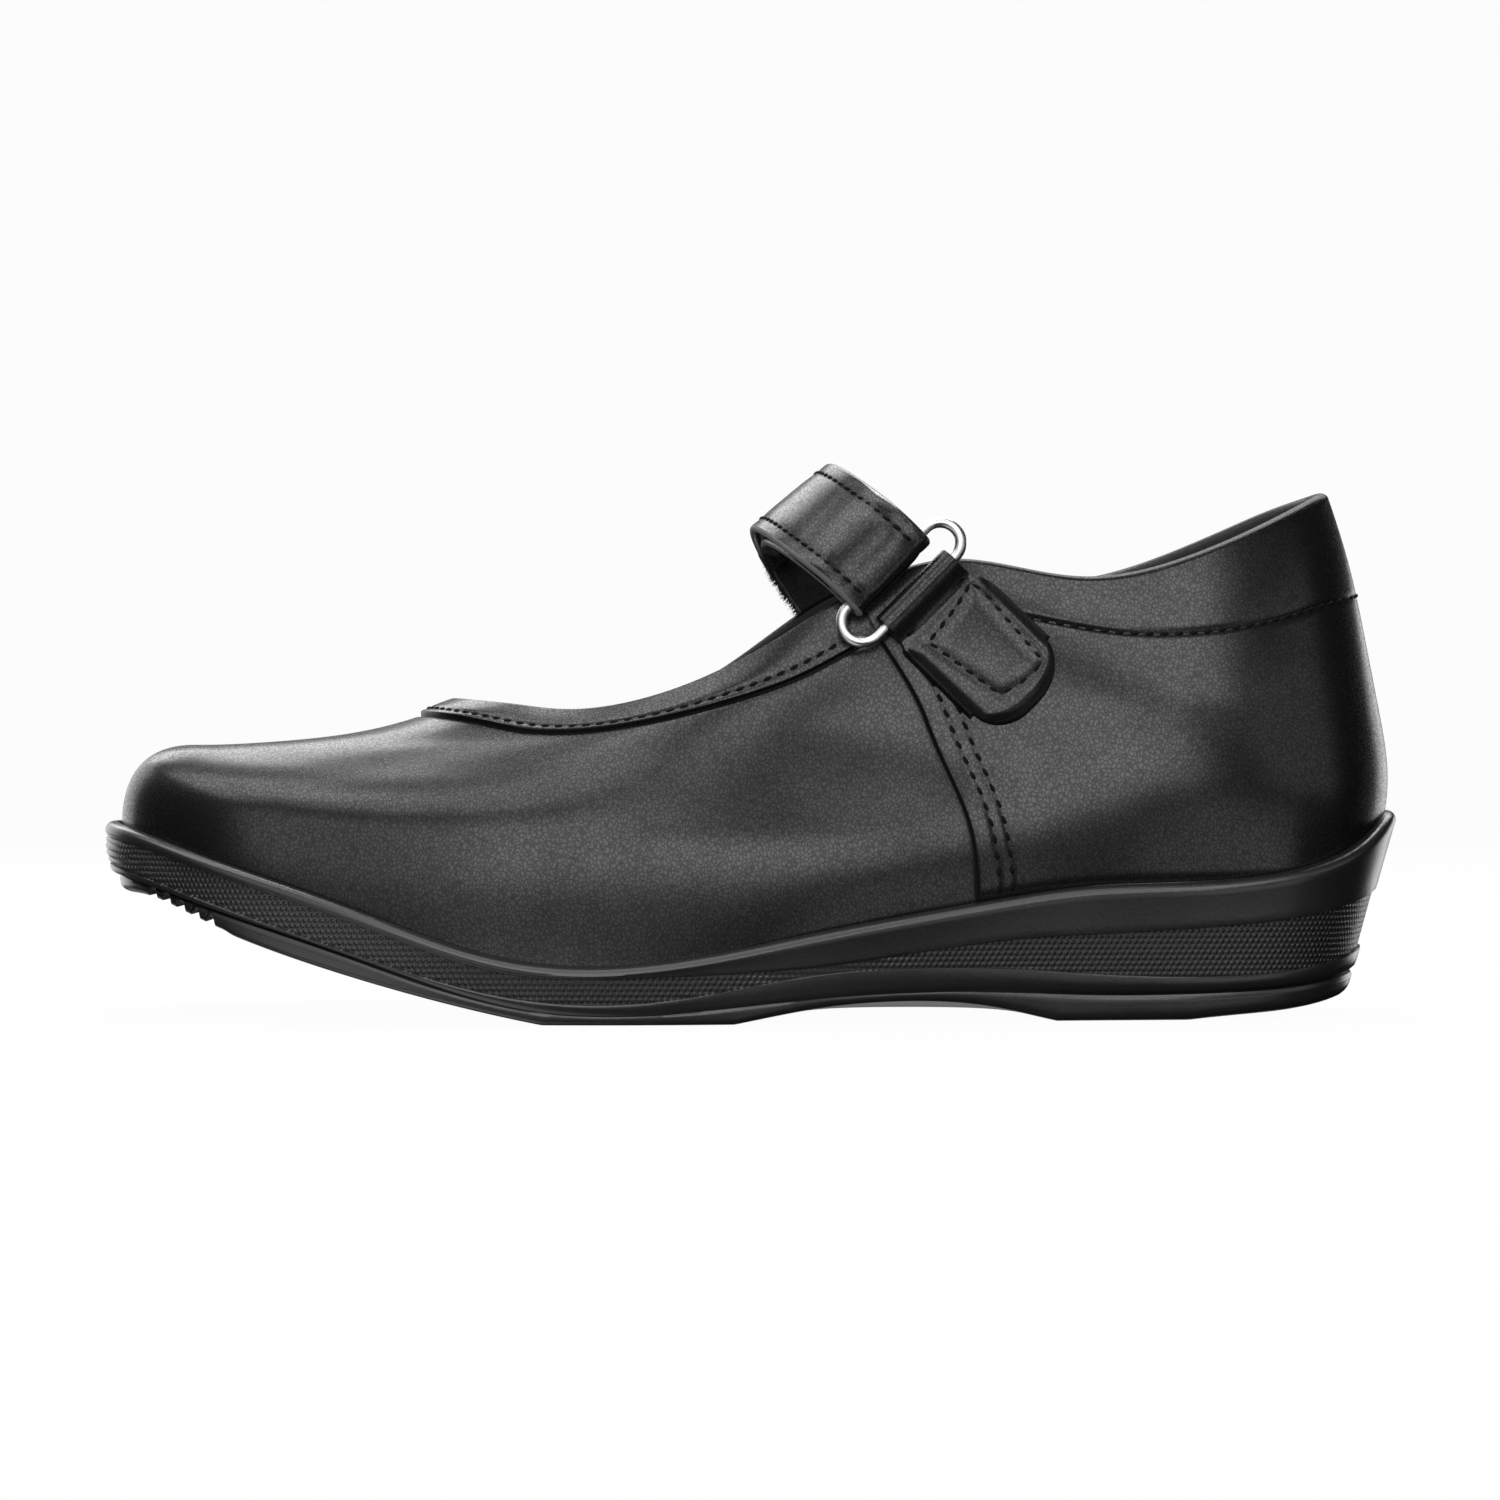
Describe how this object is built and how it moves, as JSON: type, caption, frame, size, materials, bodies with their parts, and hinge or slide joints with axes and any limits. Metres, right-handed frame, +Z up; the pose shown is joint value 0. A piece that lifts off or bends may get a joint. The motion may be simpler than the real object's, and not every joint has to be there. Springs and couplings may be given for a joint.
{
  "type": "school shoe",
  "caption": "Child's black strap school shoe for the left foot: hollow leather upper, moulded rubber sole, strap turned round a metal ring and held by fastening tape.",
  "frame": {"origin": "middle of the shoe's bounding box at floor level, under the waist of the sole", "axes": "+X towards the heel (the toe points to -X), +Y towards the inner (medial) side of the foot, +Z up from the floor"},
  "size_m": [0.222, 0.0786, 0.0941],
  "materials": {
    "black_rubber": "satin",
    "black_leather": "satin pebble grain",
    "insole_leather": "matte",
    "strap_leather": "satin pebble grain",
    "black_pile": "matte pile",
    "polished_steel": "polished",
    "tab_leather": "satin pebble grain"
  },
  "bodies": {
    "root": {"sole_unit": "black_rubber", "upper": "black_leather", "insole": "insole_leather", "strap": "strap_leather", "fastening_tape": "black_pile", "ring": "polished_steel", "ring_tab": "tab_leather"}
  },
  "joints": []
}
